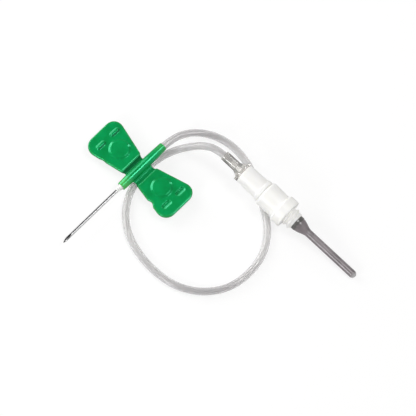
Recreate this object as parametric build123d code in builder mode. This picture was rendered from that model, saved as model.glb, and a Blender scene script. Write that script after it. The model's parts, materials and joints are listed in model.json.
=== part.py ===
from build123d import *
from math import asin, cos, degrees, pi, radians, sin, sqrt, tan
import os

os.makedirs("parts", exist_ok=True)

# Winged blood-collection set lying on a table at Z = 0, in millimetres.
# X runs along the front needle to its point and the wings lie along Y.
# Places are measured from the middle of the wings; "home" then centres the rigid pieces on the origin.

# Front needle, 21 gauge
needle_od = 0.82
needle_bore = 0.51
needle_reach = 21.9  # point beyond the hub nose
bevel_angle = 15.0
lancet_angle = 22.0
lancet_roll = 38.0
grind_reach = 2  # cutting shapes of the point stand this many radii clear of it
glue_gap = 0.02  # radial room for glue in every bonded joint
bead_length = 1.7  # glue fillet in front of the nose
bead_lip = 0.07  # glue thickness at the thin end of the fillet

# Flexible tubing
tube_od = 2.0
tube_bore = 1.2
bend_share = 0.45  # share of the shorter run that each bend takes

# Hub
hub_r = 1.35
hub_lift = 0.15  # hub above the tubing that passes below it
nose_front = 7.4
nose_shoulder = 4.4
nose_wall = 0.79
well_rim = 0.3
well_depth = 1.4
tail_back = 8.6
tail_shoulder = 3.2
tail_wall = 0.14
tail_socket = 3.0
hub_round = 0.12

# Living hinges and wings
hinge_setback = 0.75  # hub side to hinge line
hinge_gap = 0.05
web_reach = 0.75  # hinge line to wing plate
web_thick = 0.5
web_rear = 2.6
web_front = 4.0
wing_rise = 0.15  # wing underside above the hub underside
wing_thick = 1.0
wing_length = 12.5
root_rear = 3.0
root_front = 4.2
tip_rear = 6.35
tip_front = 6.6
root_corner = 0.5
tip_corner = 3.0
wing_round = 0.35
notch_out = 5.75
notch_r = 1.2
notch_depth = 0.5
notch_ease = 0.4
pad_out = 4.95
pad_r = 2.95
pad_height = 0.3
pad_round = 0.25
bar_out = 9.3
bar_apart = 5.2
bar_length = 3.2
bar_width = 1.2
bar_height = 0.4
bar_round = 0.35
crest_land = 0.02  # least upright side under the rounded top of a pad or bar
slot_room = 0.12  # slots of one wing around the bars of the other

# Place and heading of the luer end, mouth of the female luer as its reference
mouth_x = -17.16
mouth_y = 28.92
crossing_lift = 3.7  # luer axis above the tubing that passes below it
heading = 1.45  # degrees off the Y axis, towards -X

# Clear tube connector
connector_wall = 0.33
connector_socket = 2.5
connector_tail = 4.5
flare_length = 1.6
lug_flange_r = 2.35
lug_flange_thick = 0.9
lug_reach = 0.45
lug_width = 1.7
spigot_r = 1.45

# Female luer hub
luer_mouth_r = 2.15
luer_taper = 0.03  # 6 percent on the diameter
cone_room = 0.4  # socket deeper than the cone that it takes
socket_floor = 1.0
socket_wall = 0.8
lip_length = 0.9
lip_rise = 0.25
socket_round = 0.35

# Luer adapter
luer_gap = 0.04
cone_length = 6.0
seam_gap = 0.2
barrel_r = 3.7
barrel_draft = 0.2  # narrower at the flange than at the front
barrel_round = 1.2
front_land = 0.1  # least flat ring on the barrel's front, inside its rounded edge
flange_start = 5.9
flange_rise = 0.65  # flange above the barrel
flange_end = 8.8
flange_round = 0.35
neck_r = 2.3
neck_end = 11.6
nipple_r = 1.2
nipple_length = 2.8
flow_r = 0.9
flow_end = 2.0

# Rear needle and its rubber sleeve
rear_od = 0.9
rear_bore = 0.6
rear_tip = 30.1
sleeve_room = 0.2
sleeve_wall = 0.4
sleeve_base_wall = 0.75
sleeve_lip = 1.0
sleeve_lip_rise = 0.12
sleeve_flare = 3.6
sleeve_end = 32.9
sleeve_cap = 1.6

# Hub heights
hub_z = tube_od + hub_lift + hub_r
nose_r = needle_od / 2 + nose_wall
well_r = nose_r - well_rim
tail_r = tube_od / 2 + glue_gap + tail_wall
wing_z = hub_z - hub_r + wing_rise
hinge_y = hub_r + hinge_setback
hinge_z = wing_z + web_thick / 2
wing_inner = hinge_y + web_reach
wing_outer = wing_inner + wing_length

# The luer end stands with its axis over the tubing and its sleeve tip on the table
sleeve_r = rear_od / 2 + sleeve_room + sleeve_wall
dome_s = sleeve_end - sleeve_r
mouth_z = tube_od + crossing_lift
tilt = degrees(asin((mouth_z - sleeve_r) / dome_s))
run = Vector(
    -sin(radians(heading)) * cos(radians(tilt)),
    cos(radians(heading)) * cos(radians(tilt)),
    -sin(radians(tilt)),
)
across = Vector(cos(radians(heading)), sin(radians(heading)), 0)

# Barrel and flange of the adapter
barrel_back_r = barrel_r - barrel_draft
flange_r = barrel_back_r + flange_rise

# Shift that centres the rigid pieces on the origin
needle_tip = nose_front + needle_reach
x_low = mouth_x + run.X * (flange_end - flange_round) - flange_round
x_low -= (flange_r - flange_round) * sqrt(1 - run.X**2)
y_low = -wing_outer
y_high = mouth_y + run.Y * dome_s + sleeve_r
home = Vector(-(x_low + needle_tip) / 2, -(y_low + y_high) / 2, 0)

needle_start = home + Vector(0, 0, hub_z)
needle_line = Axis(needle_start, (1, 0, 0))
needle_side = Plane(needle_start, x_dir=(1, 0, 0), z_dir=(0, -1, 0))
mouth = home + Vector(mouth_x, mouth_y, mouth_z)
luer_line = Axis(mouth, run)
luer_side = Plane(mouth, x_dir=run, z_dir=across)
hub_middle = Plane(home, x_dir=(1, 0, 0), z_dir=(0, 1, 0))


def needle_section(x):
    return Plane(needle_start + Vector(x, 0, 0), x_dir=(0, 1, 0), z_dir=(1, 0, 0))


def luer_section(s):
    return Plane(mouth + run * s, x_dir=across, z_dir=run)


def turned(side, line, profile):
    # A solid of revolution from its half profile: distance along the line, then radius.
    with BuildPart() as body:
        with BuildSketch(side):
            with BuildLine():
                Polyline(*profile, close=True)
            make_face()
        revolve(axis=line)
    return body.part


def ground_point(side, tip, radius):
    # Main bevel and two side grinds that meet at the point of a needle.
    with BuildPart() as waste:
        for roll, angle in ((0, bevel_angle), (lancet_roll, lancet_angle), (-lancet_roll, lancet_angle)):
            slope = tan(radians(angle))
            start = tip + radius * (1 - cos(radians(roll))) / slope
            clear = grind_reach * radius
            back = start - (radius + clear) / slope
            with BuildSketch(side.rotated((roll, 0, 0))):
                with BuildLine():
                    Polyline((start, -radius), (back, clear), (start, clear), close=True)
                make_face()
            extrude(amount=clear, both=True)
    return waste.part


tail_floor = -tail_back + tail_socket
needle_grind = ground_point(needle_side, needle_tip, needle_od / 2)
with BuildPart() as needle_cannula:
    with BuildSketch(needle_section(tail_floor)):
        Circle(needle_od / 2)
        Circle(needle_bore / 2, mode=Mode.SUBTRACT)
    extrude(amount=needle_tip - tail_floor)
    add(needle_grind, mode=Mode.SUBTRACT)
needle_cannula.part.label = "needle_cannula"

# Glue in the nose well, drawn out to a thin fillet along the needle
bead_inner = needle_od / 2 + glue_gap
bead_profile = [
    (nose_front - well_depth, bead_inner),
    (nose_front - well_depth, well_r - glue_gap),
    (nose_front, well_r - glue_gap),
    (nose_front + bead_length, bead_inner + bead_lip),
    (nose_front + bead_length, bead_inner),
]
bead_body = turned(needle_side, needle_line, bead_profile)
with BuildPart() as needle_bond:
    add(bead_body)
needle_bond.part.label = "needle_bond"

hub_profile = [
    (-tail_back, 0),
    (-tail_back, tail_r),
    (-tail_shoulder, hub_r),
    (nose_shoulder, hub_r),
    (nose_front, nose_r),
    (nose_front, 0),
]
hub_body = turned(needle_side, needle_line, hub_profile)
with BuildPart() as wing_hub:
    add(hub_body)
    ends = wing_hub.edges().filter_by(GeomType.CIRCLE).sort_by(Axis.X)
    fillet([ends[0], ends[-1]], hub_round)
    # Inner halves of the hinge webs
    with BuildSketch(Plane.XY.offset(wing_z)):
        with Locations((home.X + (web_front - web_rear) / 2, home.Y)):
            Rectangle(web_front + web_rear, 2 * hinge_y)
    extrude(amount=web_thick)
    # Each hinge line has a hollow for the wing's rounded edge, open above so that the wing can fold up
    with BuildSketch(Plane(home, x_dir=(0, 1, 0), z_dir=(1, 0, 0)).offset(-web_rear)):
        for hinge_at in (-hinge_y, hinge_y):
            with Locations((hinge_at, hinge_z)):
                Circle(web_thick / 2 + hinge_gap)
                Rectangle(web_thick + 2 * hinge_gap, web_thick, align=(Align.CENTER, Align.MIN))
    extrude(amount=web_front + web_rear, mode=Mode.SUBTRACT)
    # Nose well, needle hole and tail socket
    with BuildSketch(needle_section(nose_front)):
        Circle(well_r)
    extrude(amount=-well_depth, mode=Mode.SUBTRACT)
    with BuildSketch(needle_section(nose_front)):
        Circle(bead_inner)
    extrude(amount=tail_floor - nose_front, mode=Mode.SUBTRACT)
    with BuildSketch(needle_section(-tail_back)):
        Circle(tube_od / 2 + glue_gap)
    extrude(amount=tail_socket, mode=Mode.SUBTRACT)
wing_hub.part.label = "wing_hub"

# Wing blank on the +Y side: plate, hinge edge and the raised round pad
front_slope = (tip_front - root_front) / wing_length
notch_x = root_front + front_slope * notch_out - notch_depth + notch_r
wing_top = wing_z + wing_thick
wing_plane = Plane(home + Vector(0, wing_inner, wing_z))
with BuildPart() as wing_blank:
    with BuildSketch(wing_plane) as outline:
        with BuildLine():
            Polyline(
                (-root_rear, 0),
                (root_front, 0),
                (tip_front, wing_length),
                (-tip_rear, wing_length),
                close=True,
            )
        make_face()
        fillet(outline.vertices().group_by(Axis.Y)[-1], tip_corner)
        fillet(outline.vertices().sort_by(Axis.X).sort_by(Axis.Y)[:1], root_corner)
        with Locations((notch_x, notch_out)):
            Circle(notch_r, mode=Mode.SUBTRACT)
        notch_middle = Vector(notch_x, notch_out)
        notch_ends = outline.vertices().sort_by(lambda v: (Vector(v) - notch_middle).length)[:2]
        fillet(notch_ends, notch_ease)
    extrude(amount=wing_thick)
    fillet(wing_blank.edges().group_by(Axis.Z)[-1], wing_round)
    with BuildSketch(wing_plane):
        with Locations(((web_front - web_rear) / 2, 0)):
            Rectangle(web_front + web_rear, 2 * web_reach)
    extrude(amount=web_thick)
    with BuildSketch(Plane(home, x_dir=(0, 1, 0), z_dir=(1, 0, 0)).offset(-web_rear)):
        with Locations((hinge_y, hinge_z)):
            Circle(web_thick / 2)
    extrude(amount=web_front + web_rear)
    with BuildSketch(wing_plane.offset(wing_thick)):
        with Locations((0, pad_out)):
            Circle(pad_r)
    extrude(amount=pad_height)
    fillet(wing_blank.edges().group_by(Axis.Z)[-1], min(pad_round, pad_height - crest_land))

with BuildPart() as wing_left:
    add(wing_blank.part)
    with BuildSketch(wing_plane.offset(wing_thick)):
        with Locations((0, bar_out)):
            with GridLocations(bar_apart, 0, 2, 1):
                SlotOverall(bar_length + 2 * slot_room, bar_width + 2 * slot_room)
    extrude(amount=-(bar_height + slot_room), mode=Mode.SUBTRACT)
wing_left.part.label = "wing_left"

with BuildPart() as wing_right:
    mirror(wing_blank.part, about=hub_middle)
    with BuildSketch(Plane(home + Vector(0, -wing_inner, wing_top))):
        with Locations((0, -bar_out)):
            with GridLocations(bar_apart, 0, 2, 1):
                SlotOverall(bar_length, bar_width)
    extrude(amount=bar_height)
    fillet(wing_right.edges().group_by(Axis.Z)[-1], min(bar_round, bar_height - crest_land))
wing_right.part.label = "wing_right"

# Clear connector: tail that takes the tubing, flare, flange with two lugs, spigot into the female luer
socket_length = cone_length + cone_room + socket_floor
connector_r = tube_od / 2 + glue_gap + connector_wall
flange_face = -socket_length
lug_start = flange_face - lug_flange_thick
flare_start = lug_start - flare_length
connector_end = flare_start - connector_tail
spigot_end = flange_face + socket_floor
connector_profile = [
    (connector_end, 0),
    (connector_end, connector_r),
    (flare_start, connector_r),
    (lug_start, lug_flange_r),
    (flange_face, lug_flange_r),
    (flange_face, spigot_r),
    (spigot_end, spigot_r),
    (spigot_end, 0),
]
connector_body = turned(luer_side, luer_line, connector_profile)
with BuildPart() as tube_connector:
    add(connector_body)
    with BuildSketch(luer_section(lug_start)):
        SlotOverall(2 * (lug_flange_r + lug_reach), lug_width)
    extrude(amount=lug_flange_thick)
    with BuildSketch(luer_section(connector_end)):
        Circle(tube_od / 2 + glue_gap)
    extrude(amount=connector_socket, mode=Mode.SUBTRACT)
    with BuildSketch(luer_section(connector_end)):
        Circle(tube_bore / 2)
    extrude(amount=spigot_end - connector_end, mode=Mode.SUBTRACT)
tube_connector.part.label = "tube_connector"

# White female luer hub: tapered bore, rear floor with the spigot hole, lip at the mouth
luer_floor_r = luer_mouth_r - luer_taper * (socket_length - socket_floor)
socket_back_r = luer_floor_r + socket_wall
socket_front_r = luer_mouth_r + socket_wall
socket_profile = [
    (flange_face, spigot_r + glue_gap),
    (flange_face, socket_back_r),
    (-lip_length - lip_rise, socket_front_r),
    (-lip_length, socket_front_r + lip_rise),
    (0, socket_front_r + lip_rise),
    (0, luer_mouth_r),
    (spigot_end, luer_floor_r),
    (spigot_end, spigot_r + glue_gap),
]
socket_body = turned(luer_side, luer_line, socket_profile)
with BuildPart() as luer_socket:
    add(socket_body)
    rims = luer_socket.edges().filter_by(GeomType.CIRCLE)
    fillet(rims.filter_by(lambda e: abs(e.radius - socket_back_r) < glue_gap), socket_round)
luer_socket.part.label = "luer_socket"

# White luer adapter: male luer cone, barrel, flange, plain core of the holder thread, nipple
cone_base_r = luer_mouth_r - luer_gap + luer_taper * seam_gap
cone_tip_r = luer_mouth_r - luer_gap - luer_taper * cone_length
nipple_end = neck_end + nipple_length
rear_hole = rear_od / 2 + glue_gap
adapter_profile = [
    (-cone_length, flow_r),
    (-cone_length, cone_tip_r),
    (seam_gap, cone_base_r),
    (seam_gap, barrel_r),
    (flange_start, barrel_back_r),
    (flange_start, flange_r),
    (flange_end, flange_r),
    (flange_end, neck_r),
    (neck_end, neck_r),
    (neck_end, nipple_r),
    (nipple_end, nipple_r),
    (nipple_end, rear_hole),
    (flow_end, rear_hole),
    (flow_end, flow_r),
]
adapter_body = turned(luer_side, luer_line, adapter_profile)
with BuildPart() as luer_adapter:
    add(adapter_body)
    rims = luer_adapter.edges().filter_by(GeomType.CIRCLE)
    fillet(rims.filter_by(lambda e: abs(e.radius - flange_r) < glue_gap), flange_round)
    rims = luer_adapter.edges().filter_by(GeomType.CIRCLE)
    front_wall = barrel_r - cone_base_r - front_land
    fillet(rims.filter_by(lambda e: abs(e.radius - barrel_r) < glue_gap), min(barrel_round, front_wall))
luer_adapter.part.label = "luer_adapter"

rear_grind = ground_point(luer_side, rear_tip, rear_od / 2)
with BuildPart() as rear_cannula:
    with BuildSketch(luer_section(flow_end)):
        Circle(rear_od / 2)
        Circle(rear_bore / 2, mode=Mode.SUBTRACT)
    extrude(amount=rear_tip - flow_end)
    add(rear_grind, mode=Mode.SUBTRACT)
rear_cannula.part.label = "rear_cannula"

# Rubber sleeve: lipped base over the nipple, flare, straight sleeve with a closed domed end
sleeve_bore_r = rear_od / 2 + sleeve_room
sleeve_base_r = nipple_r + glue_gap + sleeve_base_wall
sleeve_hollow_end = sleeve_end - sleeve_cap
with BuildPart() as sleeve:
    with BuildSketch(luer_side):
        with BuildLine():
            Polyline(
                (nipple_end, sleeve_bore_r),
                (nipple_end, nipple_r + glue_gap),
                (neck_end, nipple_r + glue_gap),
                (neck_end, sleeve_base_r + sleeve_lip_rise),
                (neck_end + sleeve_lip, sleeve_base_r + sleeve_lip_rise),
                (neck_end + sleeve_lip, sleeve_base_r),
            )
            Spline(
                (neck_end + sleeve_lip, sleeve_base_r),
                (neck_end + sleeve_lip + sleeve_flare, sleeve_r),
                tangents=[(1, 0), (1, 0)],
            )
            Line((neck_end + sleeve_lip + sleeve_flare, sleeve_r), (dome_s, sleeve_r))
            RadiusArc((dome_s, sleeve_r), (sleeve_end, 0), sleeve_r)
            Polyline(
                (sleeve_end, 0),
                (sleeve_hollow_end, 0),
                (sleeve_hollow_end, sleeve_bore_r),
                (nipple_end, sleeve_bore_r),
            )
        make_face()
    revolve(axis=luer_line)
sleeve.part.label = "sleeve"

# Tubing: straight out of the hub tail, down to the table, under the luer end, once round, under the hub,
# and up into the connector. The places in between are chosen by eye along the tubing as it lies.
tail_run = 5.6
connector_run = 4.8
table_z = tube_od / 2
tube_end = connector_end + connector_socket
lying = [
    (-16.4, 1.9, 2.7),
    (-20.4, 6.0, 1.5),
    (-22.2, 11.5, table_z),
    (-21.7, 17.7, table_z),
    (-19.6, 23.4, table_z),
    (-16.0, 29.2, table_z),
    (-12.3, 35.2, table_z),
    (-6.5, 39.5, table_z),
    (0.4, 40.9, table_z),
    (7.4, 39.9, table_z),
    (13.1, 35.9, table_z),
    (16.9, 29.7, table_z),
    (17.9, 22.3, table_z),
    (17.0, 14.8, table_z),
    (14.1, 8.0, table_z),
    (8.5, 2.9, table_z),
    (1.7, 0.8, table_z),
    (-5.0, 0.6, table_z),
    (-9.8, 2.1, 1.4),
    (-13.1, 4.9, 3.4),
    (-15.3, 8.5, 6.8),
]
route = [needle_start + Vector(tail_floor, 0, 0), needle_start + Vector(tail_floor - tail_run, 0, 0)]
route += [home + Vector(*place) for place in lying]
route += [mouth + run * (tube_end - connector_run), mouth + run * tube_end]

bends = []
for before, corner, after in zip(route, route[1:], route[2:]):
    shorter = min((corner - before).length, (after - corner).length)
    turn = (corner - before).get_angle(after - corner)
    bends.append(bend_share * shorter / tan(radians(turn / 2)))
print("tubing bend radii", [round(bend, 1) for bend in bends])

with BuildPart() as tubing:
    with BuildLine() as path:
        FilletPolyline(*route, radius=bends)
    tube_line = path.wires()[0]
    with BuildSketch(Plane(tube_line @ 0, z_dir=tube_line % 0)):
        Circle(tube_od / 2)
        Circle(tube_bore / 2, mode=Mode.SUBTRACT)
    sweep()
tubing.part.label = "tubing"
tube_section = pi * (tube_od**2 - tube_bore**2) / 4
print("tubing length", round(tube_line.length, 2))
print("tubing volume", round(tubing.part.volume, 2))
print("section by length", round(tube_section * tube_line.length, 2))

for piece in (
    needle_cannula,
    needle_bond,
    wing_hub,
    wing_left,
    wing_right,
    tubing,
    tube_connector,
    luer_socket,
    luer_adapter,
    rear_cannula,
    sleeve,
):
    export_step(piece.part, f"parts/{piece.part.label}.step")

print("home", home, "hub height", hub_z, "hinge", hinge_y, hinge_z, "tilt", tilt)
print("luer mouth", mouth, "run", run)
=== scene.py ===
import bpy
import bmesh
import json
import numpy as np
from mathutils import Matrix, Vector


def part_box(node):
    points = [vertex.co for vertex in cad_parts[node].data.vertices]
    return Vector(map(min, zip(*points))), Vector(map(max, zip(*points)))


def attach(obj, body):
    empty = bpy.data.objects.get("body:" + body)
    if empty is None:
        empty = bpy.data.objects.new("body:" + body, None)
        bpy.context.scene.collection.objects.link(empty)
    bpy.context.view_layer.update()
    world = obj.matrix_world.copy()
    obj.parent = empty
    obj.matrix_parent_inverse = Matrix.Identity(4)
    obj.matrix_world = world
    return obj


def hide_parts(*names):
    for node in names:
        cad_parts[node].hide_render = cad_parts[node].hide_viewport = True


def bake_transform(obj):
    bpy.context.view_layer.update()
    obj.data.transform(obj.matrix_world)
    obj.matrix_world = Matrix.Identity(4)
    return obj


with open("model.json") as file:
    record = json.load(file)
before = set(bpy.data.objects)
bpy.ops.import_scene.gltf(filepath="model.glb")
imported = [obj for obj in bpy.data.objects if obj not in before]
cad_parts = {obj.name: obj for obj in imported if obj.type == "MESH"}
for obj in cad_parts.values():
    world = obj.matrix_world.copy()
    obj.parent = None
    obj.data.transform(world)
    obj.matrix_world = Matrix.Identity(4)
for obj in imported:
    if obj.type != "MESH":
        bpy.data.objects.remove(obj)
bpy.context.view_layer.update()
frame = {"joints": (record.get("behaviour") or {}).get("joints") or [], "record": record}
mm = 0.001  # shapes below are worked out in millimetres and stored in metres

# Places, read from the frame: hub centre, hinge lines, needle line and luer line
joints = {joint["name"]: joint for joint in frame["joints"]}
mounts = {mount["name"]: mount for mount in frame["record"]["mounts"]}
leftHinge = np.array(joints["left_wing_fold"]["pos_m"]) / mm
rightHinge = np.array(joints["right_wing_fold"]["pos_m"]) / mm
home = (leftHinge + rightHinge) / 2
hingeOut = (leftHinge[1] - rightHinge[1]) / 2
hingeHeight = home[2]
home[2] = 0
needleLow, needleHigh = (np.array(corner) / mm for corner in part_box("needle_cannula"))
hubHeight = (needleLow[2] + needleHigh[2]) / 2
hubStart = np.array([home[0], home[1], hubHeight])
needleAlong = np.array([1.0, 0, 0])
luerAlong = np.array(joints["adapter_pull_off"]["axis"])
threadMiddle = 10.2  # holder thread's middle from the female luer's mouth
luerStart = np.array(mounts["holder_thread"]["pos_m"]) / mm - luerAlong * threadMiddle
luerAcross = np.cross([0, 0, 1.0], -luerAlong)
luerAcross /= np.linalg.norm(luerAcross)
print("frame read: hub at", np.round(hubStart, 2), "luer mouth at", np.round(luerStart, 2))


# Shape helpers

def smoothStep(low, high, value):
    # rises from 0 at low to 1 at high, level at both ends
    t = np.clip((value - low) / (high - low), 0, 1)
    return t * t * (3 - 2 * t)


def easedRamp(low, high, value, straight=0.7):
    # rises from 0 at low to 1 at high on a nearly straight slope, eased a little at both ends
    t = np.clip((value - low) / (high - low), 0, 1)
    return straight * t + (1 - straight) * smoothStep(0, 1, t)


def between(settings, first, last, t):
    # the run from one named value to another
    return settings[first] + (settings[last] - settings[first]) * t


def fullTurn(count):
    # angles of evenly spread points once round
    return np.linspace(0, 2 * np.pi, count, endpoint=False)


def roundedLoop(corners, steps=7, tiny=1e-6, apart=1e-5):
    # a polygon of (s, r, radius): each corner becomes the arc of that radius which touches both its runs
    corners = np.array(corners, float)
    points, radii = corners[:, :2], corners[:, 2:]
    toBefore = np.roll(points, 1, 0) - points
    toAfter = np.roll(points, -1, 0) - points
    toBefore /= np.linalg.norm(toBefore, axis=1, keepdims=True)
    toAfter /= np.linalg.norm(toAfter, axis=1, keepdims=True)
    half = np.arccos(np.clip((toBefore * toAfter).sum(1, keepdims=True), -1, 1)) / 2
    middle = toBefore + toAfter
    length = np.linalg.norm(middle, axis=1, keepdims=True)
    middle = np.where(length > tiny, middle / np.maximum(length, tiny), 0)
    centre = points + middle * radii / np.sin(half)
    first = points + toBefore * radii / np.tan(half) - centre
    last = points + toAfter * radii / np.tan(half) - centre
    swing = np.maximum(np.pi - 2 * half, tiny)
    t = np.linspace(0, 1, steps)[None, :, None]
    arcs = np.sin((1 - t) * swing[:, None]) * first[:, None] + np.sin(t * swing[:, None]) * last[:, None]
    loop = (centre[:, None] + arcs / np.sin(swing[:, None])).reshape(-1, 2)
    keep = np.linalg.norm(loop - np.roll(loop, 1, 0), axis=1) > apart
    return loop[keep]


def closedProfile(settings, *rows):
    # a turned piece's outline: each row names its corner's place along the line, its radius and, where it is
    # round, its rounding; extra points go wherever two neighbours are further apart than the gap
    loop = roundedLoop([[settings[key] for key in row] + [0] * (3 - len(row)) for row in rows])
    out = []
    for first, last in zip(loop, np.roll(loop, -1, 0)):
        count = max(1, int(np.ceil(np.linalg.norm(last - first) / settings["gap"])))
        out.append(first + (last - first) * (np.arange(count) / count)[:, None])
    return np.vstack(out)


def around(start, along, s, r, angle, side=None):
    # the point at s along a line, r away from it, turned by angle about it
    first = np.array([0, 0, 1.0]) if side is None else side
    first = first - along * first.dot(along)
    first /= np.linalg.norm(first)
    second = np.cross(along, first)
    turned = np.cos(angle)[..., None] * first + np.sin(angle)[..., None] * second
    return start + s[..., None] * along + r[..., None] * turned


def finishMesh(mesh, sharpAngle, weld=2e-7, sliver=1e-8):
    # joins seams and poles, turns the faces outwards and shades them smooth up to the given angle
    shape = bmesh.new()
    shape.from_mesh(mesh)
    bmesh.ops.remove_doubles(shape, verts=shape.verts, dist=weld)
    bmesh.ops.dissolve_degenerate(shape, edges=shape.edges, dist=sliver)
    bmesh.ops.recalc_face_normals(shape, faces=shape.faces)
    shape.to_mesh(mesh)
    shape.free()
    mesh.polygons.foreach_set("use_smooth", np.ones(len(mesh.polygons), bool))
    mesh.set_sharp_from_angle(angle=np.radians(sharpAngle))
    mesh.update()


def gridPiece(name, grid, material, slot, closedV=False, sharpAngle=40, **values):
    # a grid of points (u, v, xyz) in millimetres, closed in u, becomes a mesh of four-sided faces; values
    # are kept per point
    rows, columns = grid.shape[:2]
    index = np.arange(rows * columns).reshape(rows, columns)
    index = np.vstack([index, index[:1]])
    if closedV:
        index = np.hstack([index, index[:, :1]])
    faces = np.stack([index[:-1, :-1], index[1:, :-1], index[1:, 1:], index[:-1, 1:]], -1).reshape(-1, 4)
    mesh = bpy.data.meshes.new(name)
    mesh.from_pydata(grid.reshape(-1, 3) * mm, [], faces)
    for key, value in values.items():
        layer = mesh.attributes.new(key, "FLOAT", "POINT")
        layer.data.foreach_set("value", np.broadcast_to(value, grid.shape[:2]).ravel().astype(np.float32))
    finishMesh(mesh, sharpAngle)
    piece = bpy.data.objects.new(name, mesh)
    bpy.context.scene.collection.objects.link(piece)
    mesh.materials.append(material)
    return piece


def turnedProfile(profile, turns):
    # a profile of (s, r) carried once round its line: s, r and angle of each point
    s, turn = np.meshgrid(profile[:, 0], fullTurn(turns))
    return s, np.broadcast_to(profile[:, 1], s.shape), turn


# Camera, at the photograph's angle, and its long lens

cameraSettings = {
    "azimuth": 134,
    "elevation": 69,
    "lens": 600,
    "sensor": 36,
    "clip": (0.01, 20),  # metres
    "width": 110.24,  # of what the image takes in, at the table
    "centre": (-5.19, 19.82, 0),  # of the image, from the hub's middle
}


def makeCamera(settings):
    a, e = np.radians(settings["azimuth"]), np.radians(settings["elevation"])
    back = Vector((np.sin(a) * np.cos(e), -np.cos(a) * np.cos(e), np.sin(e)))
    right = Vector((np.cos(a), np.sin(a), 0))
    up = back.cross(right)
    away = settings["width"] * settings["lens"] / settings["sensor"] * mm
    data = bpy.data.cameras.new("camera")
    data.lens = settings["lens"]
    data.sensor_width = settings["sensor"]
    data.clip_start, data.clip_end = settings["clip"]
    camera = bpy.data.objects.new("camera", data)
    bpy.context.scene.collection.objects.link(camera)
    turn = Matrix((right, up, back)).transposed().to_4x4()
    centre = Vector(home + settings["centre"]) * mm
    camera.matrix_world = Matrix.Translation(centre + back * away) @ turn
    bpy.context.scene.camera = camera


makeCamera(cameraSettings)
print("camera placed")


# Materials

def nodeOf(tree, kind, **inputs):
    # adds a node and sets the sockets that are given by name
    node = tree.nodes.new(kind)
    for key, value in inputs.items():
        node.inputs[key.replace("_", " ")].default_value = value
    return node


skinSettings = {
    "Cloud": {"Scale": 220.0, "Detail": 3.0, "Roughness": 0.55},
    "Grain": {"Scale": 5200.0, "Detail": 2.0, "Roughness": 0.5},
}


def mouldSkinGroup(settings):
    # slow clouds and fine grain of a moulded surface, on Object coordinates
    tree = bpy.data.node_groups.new("mouldSkin", "ShaderNodeTree")
    for key, noise in settings.items():
        socket = tree.interface.new_socket(key + " Scale", in_out="INPUT", socket_type="NodeSocketFloat")
        socket.default_value = noise["Scale"]
        tree.interface.new_socket(key, in_out="OUTPUT", socket_type="NodeSocketFloat")
    given, result = tree.nodes.new("NodeGroupInput"), tree.nodes.new("NodeGroupOutput")
    place = tree.nodes.new("ShaderNodeTexCoord")
    for key, values in settings.items():
        noise = nodeOf(tree, "ShaderNodeTexNoise", **values)
        tree.links.new(place.outputs["Object"], noise.inputs["Vector"])
        tree.links.new(given.outputs[key + " Scale"], noise.inputs["Scale"])
        tree.links.new(noise.outputs["Fac"], result.inputs[key])
    return tree


mouldSkin = mouldSkinGroup(skinSettings)


def startMaterial(name):
    # a Principled material, its nodes and its shader
    material = bpy.data.materials.new(name)
    material.use_nodes = True
    return material, material.node_tree, material.node_tree.nodes["Principled BSDF"]


def skinOf(tree, settings):
    # the moulded skin at the material's own scales: clouds and grain
    skin = tree.nodes.new("ShaderNodeGroup")
    skin.node_tree = mouldSkin
    for key, name in (("cloud", "Cloud Scale"), ("grain", "Grain Scale")):
        if key in settings:
            skin.inputs[name].default_value = settings[key]
    return skin.outputs["Cloud"], skin.outputs["Grain"]


def ramp(tree, source, *stops):
    # colour stops (place, colour) along a value
    node = tree.nodes.new("ShaderNodeValToRGB")
    tree.links.new(source, node.inputs["Fac"])
    while len(node.color_ramp.elements) < len(stops):
        node.color_ramp.elements.new(0.5)
    for element, (place, colour) in zip(node.color_ramp.elements, stops):
        element.position = place
        element.color = (*colour, 1)
    return node.outputs["Color"]


def rangeOf(tree, source, fromLow, fromHigh, low, high):
    # carries a value from one range over to another
    node = nodeOf(tree, "ShaderNodeMapRange", From_Min=fromLow, From_Max=fromHigh, To_Min=low, To_Max=high)
    tree.links.new(source, node.inputs["Value"])
    return node.outputs["Result"]


def spread(tree, source, low, high, middle=(0.3, 0.7)):
    # stretches the middle of a noise value over low..high
    return rangeOf(tree, source, *middle, low, high)


def mathOf(tree, operation, *sources):
    # a sum on one or two values; a second value that isn't given is 1, and the result stays within 0..1
    node = tree.nodes.new("ShaderNodeMath")
    node.operation = operation
    node.use_clamp = True
    node.inputs[1].default_value = 1
    for source, socket in zip(sources, node.inputs):
        tree.links.new(source, socket)
    return node.outputs["Value"]


def mixColour(tree, share, first, second, blend="MIX"):
    node = tree.nodes.new("ShaderNodeMix")
    node.data_type = "RGBA"
    node.blend_type = blend
    if share is None:
        node.inputs["Factor"].default_value = 1
    else:
        tree.links.new(share, node.inputs["Factor"])
    for source, key in ((first, "A"), (second, "B")):
        socket = [i for i in node.inputs if i.name == key and i.type == "RGBA"][0]
        if isinstance(source, tuple):
            socket.default_value = (*source, 1)
        else:
            tree.links.new(source, socket)
    return [o for o in node.outputs if o.type == "RGBA"][0]


def roughen(tree, shader, grain, settings, depth=0.00002):
    # roughness and a shallow bump from the grain
    tree.links.new(spread(tree, grain, settings["smooth"], settings["rough"]), shader.inputs["Roughness"])
    node = nodeOf(tree, "ShaderNodeBump", Strength=settings["bump"], Distance=depth)
    tree.links.new(grain, node.inputs["Height"])
    tree.links.new(node.outputs["Normal"], shader.inputs["Normal"])


def setSockets(shader, settings, **names):
    # constants of the shader, by socket name
    for name, key in names.items():
        value = settings[key]
        socket = shader.inputs[name.replace("_", " ")]
        socket.default_value = (*value, 1) if socket.type == "RGBA" else value


def attributeOf(tree, name):
    node = tree.nodes.new("ShaderNodeAttribute")
    node.attribute_name = name
    return node.outputs["Fac"]


insideSockets = {
    "Subsurface_Weight": "inside",
    "Subsurface_Radius": "insideColour",
    "Subsurface_Scale": "insideReach",
}


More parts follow.
